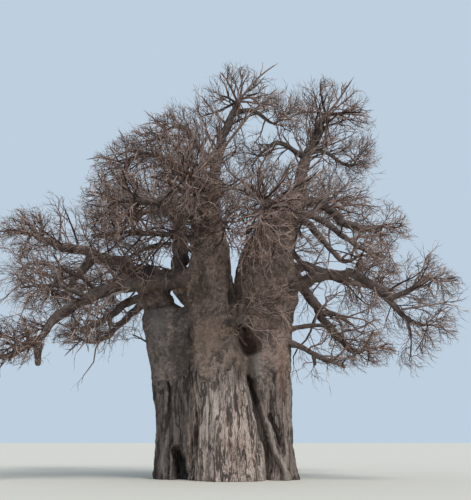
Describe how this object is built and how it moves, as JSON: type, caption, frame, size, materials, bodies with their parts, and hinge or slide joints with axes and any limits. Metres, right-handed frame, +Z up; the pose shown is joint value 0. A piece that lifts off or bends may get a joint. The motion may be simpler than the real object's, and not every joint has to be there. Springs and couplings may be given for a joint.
{
  "type": "baobab tree",
  "caption": "Leafless baobab whose broad trunk is a clump of fused fluted stems, with leaders, arching tapering boughs and masses of bare dry twigs at their tips.",
  "frame": {"origin": "middle of the flat cut under the trunk, at ground level", "axes": "+Z up the trunk, +Y away from the viewer of the picture, +X to the viewer's right"},
  "size_m": [19.3778, 15.618, 17.9252],
  "materials": {
    "trunk_bark": "rough fissured grey-brown bark",
    "bough_bark": "rough dark grey-brown bark",
    "twigs": "dry matt brown twigs without leaves"
  },
  "bodies": {
    "root": {"back_left_bough": "bough_bark", "back_left_leader": "trunk_bark", "back_left_low_bough": "bough_bark", "back_left_low_twigs": "twigs", "back_left_twigs": "twigs", "back_mid_bough": "bough_bark", "back_mid_twigs": "twigs", "back_right_bough": "bough_bark", "back_right_leader": "trunk_bark", "back_right_low_bough": "bough_bark", "back_right_low_twigs": "twigs", "back_right_twigs": "twigs", "centre_leader": "trunk_bark", "crown_left_arch_bough": "bough_bark", "crown_left_arch_twigs": "twigs", "crown_left_bough": "bough_bark", "crown_left_twigs": "twigs", "crown_right_arch_bough": "bough_bark", "crown_right_arch_twigs": "twigs", "crown_right_bough": "bough_bark", "crown_right_droop_bough": "bough_bark", "crown_right_droop_twigs": "twigs", "crown_right_twigs": "twigs", "dome_left_bough": "bough_bark", "dome_left_twigs": "twigs", "dome_mid_bough": "bough_bark", "dome_mid_twigs": "twigs", "dome_top_bough": "bough_bark", "dome_top_twigs": "twigs", "front_left_bough": "bough_bark", "front_left_twigs": "twigs", "front_right_bough": "bough_bark", "front_right_twigs": "twigs", "front_stub_bough": "bough_bark", "left_arch_bough": "bough_bark", "left_arch_twigs": "twigs", "left_fork_bough": "bough_bark", "left_fork_twigs": "twigs", "left_hook_bough": "bough_bark", "left_hook_twigs": "twigs", "left_long_bough": "bough_bark", "left_long_tip_bough": "bough_bark", "left_long_tip_twigs": "twigs", "left_low_bough": "bough_bark", "left_riser_bough": "bough_bark", "right_foot_bough": "bough_bark", "right_leader": "trunk_bark", "right_long_bough": "bough_bark", "right_long_down_bough": "bough_bark", "right_long_down_twigs": "twigs", "right_long_up_bough": "bough_bark", "right_long_up_twigs": "twigs", "right_low_bough": "bough_bark", "right_low_twigs": "twigs", "right_mid_bough": "bough_bark", "right_mid_twigs": "twigs", "right_upper_bough": "bough_bark", "right_upper_twigs": "twigs", "trunk": "trunk_bark"}
  },
  "joints": []
}
